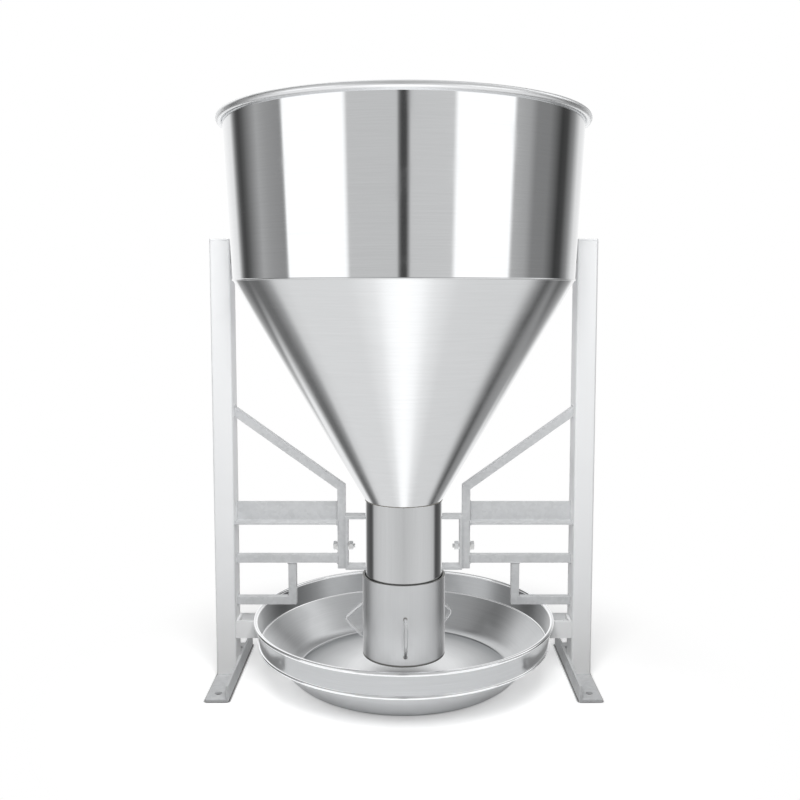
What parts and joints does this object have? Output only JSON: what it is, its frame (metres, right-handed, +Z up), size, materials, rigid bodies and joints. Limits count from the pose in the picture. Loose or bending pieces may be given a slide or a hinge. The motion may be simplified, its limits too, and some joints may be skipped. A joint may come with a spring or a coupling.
{
  "type": "pig feeder",
  "caption": "Free-standing steel pig feeder: a tapered hopper and cone between side frames, with an adjustable swivelling feed sleeve over a round bowl.",
  "frame": {"origin": "on the floor under the hopper's axis, at the middle of the feet", "axes": "+Z up along the hopper's axis; +X across from post to post, to the right seen from the front; -Y towards the front loop"},
  "size_m": [0.6054, 0.5768, 0.8865],
  "materials": {
    "polished_steel": "polished stainless sheet with fine rolling lines",
    "satin_steel": "satin stainless sheet",
    "pale_paint": "pale grey satin coating",
    "grey_bar_steel": "galvanised grey, matt",
    "bright_hardware": "bright zinc-plated or drawn steel",
    "pad_rubber": "matt black rubber"
  },
  "bodies": {
    "stand_and_hopper": {"hopper_drum": "polished_steel", "rim_bead": "polished_steel", "hopper_cone": "satin_steel", "outlet_tube": "polished_steel", "left_post": "pale_paint", "right_post": "pale_paint", "left_post_cap": "pale_paint", "right_post_cap": "pale_paint", "left_foot": "grey_bar_steel", "right_foot": "grey_bar_steel", "left_brace": "grey_bar_steel", "right_brace": "grey_bar_steel", "left_rail": "grey_bar_steel", "right_rail": "grey_bar_steel", "left_mid_bar": "grey_bar_steel", "right_mid_bar": "grey_bar_steel", "left_lower_bar": "grey_bar_steel", "right_lower_bar": "grey_bar_steel", "left_tube_strap": "grey_bar_steel", "right_tube_strap": "grey_bar_steel", "strap_bolts": "bright_hardware", "strap_nuts": "bright_hardware", "bowl_pan": "polished_steel", "bowl_band": "polished_steel", "bowl_rim_bead": "polished_steel", "left_bowl_bracket": "pale_paint", "right_bowl_bracket": "pale_paint", "bracket_bolts": "bright_hardware", "bridge_bar": "satin_steel", "drum_pads": "pad_rubber", "hopper_bolts": "bright_hardware", "post_weld_nuts": "grey_bar_steel", "flat_washers": "bright_hardware", "guide_bush": "bright_hardware", "key_plate": "bright_hardware", "key_screw": "bright_hardware"},
    "hand_nut": {"hand_nut": "bright_hardware"},
    "rod": {"adjusting_rod": "bright_hardware", "rod_end_nut": "bright_hardware", "rod_collar": "bright_hardware", "thrust_washer": "bright_hardware", "lock_nuts": "bright_hardware"},
    "sleeve": {"feed_sleeve": "polished_steel", "sleeve_spider": "satin_steel", "nudge_loop_front": "bright_hardware", "nudge_loop_left": "bright_hardware", "nudge_loop_right": "bright_hardware"}
  },
  "joints": [
    {"name": "hand_nut_turn", "type": "hinge", "parent": "stand_and_hopper", "child": "hand_nut", "pos_m": [0, 0, 0.678], "axis": [0, 0, 1], "range_deg": [-720, 1800]},
    {"name": "sleeve_lift", "type": "slide", "parent": "stand_and_hopper", "child": "rod", "axis": [0, 0, 1], "range_m": [-0.01501, 0.00601]},
    {"name": "sleeve_swivel", "type": "hinge", "parent": "rod", "child": "sleeve", "pos_m": [0, 0, 0.05], "axis": [0, 0, 1], "continuous": true}
  ],
  "couplings": [
    {"joint": "sleeve_lift", "follows": "hand_nut_turn", "m_per_rad": -0.00047746}
  ]
}
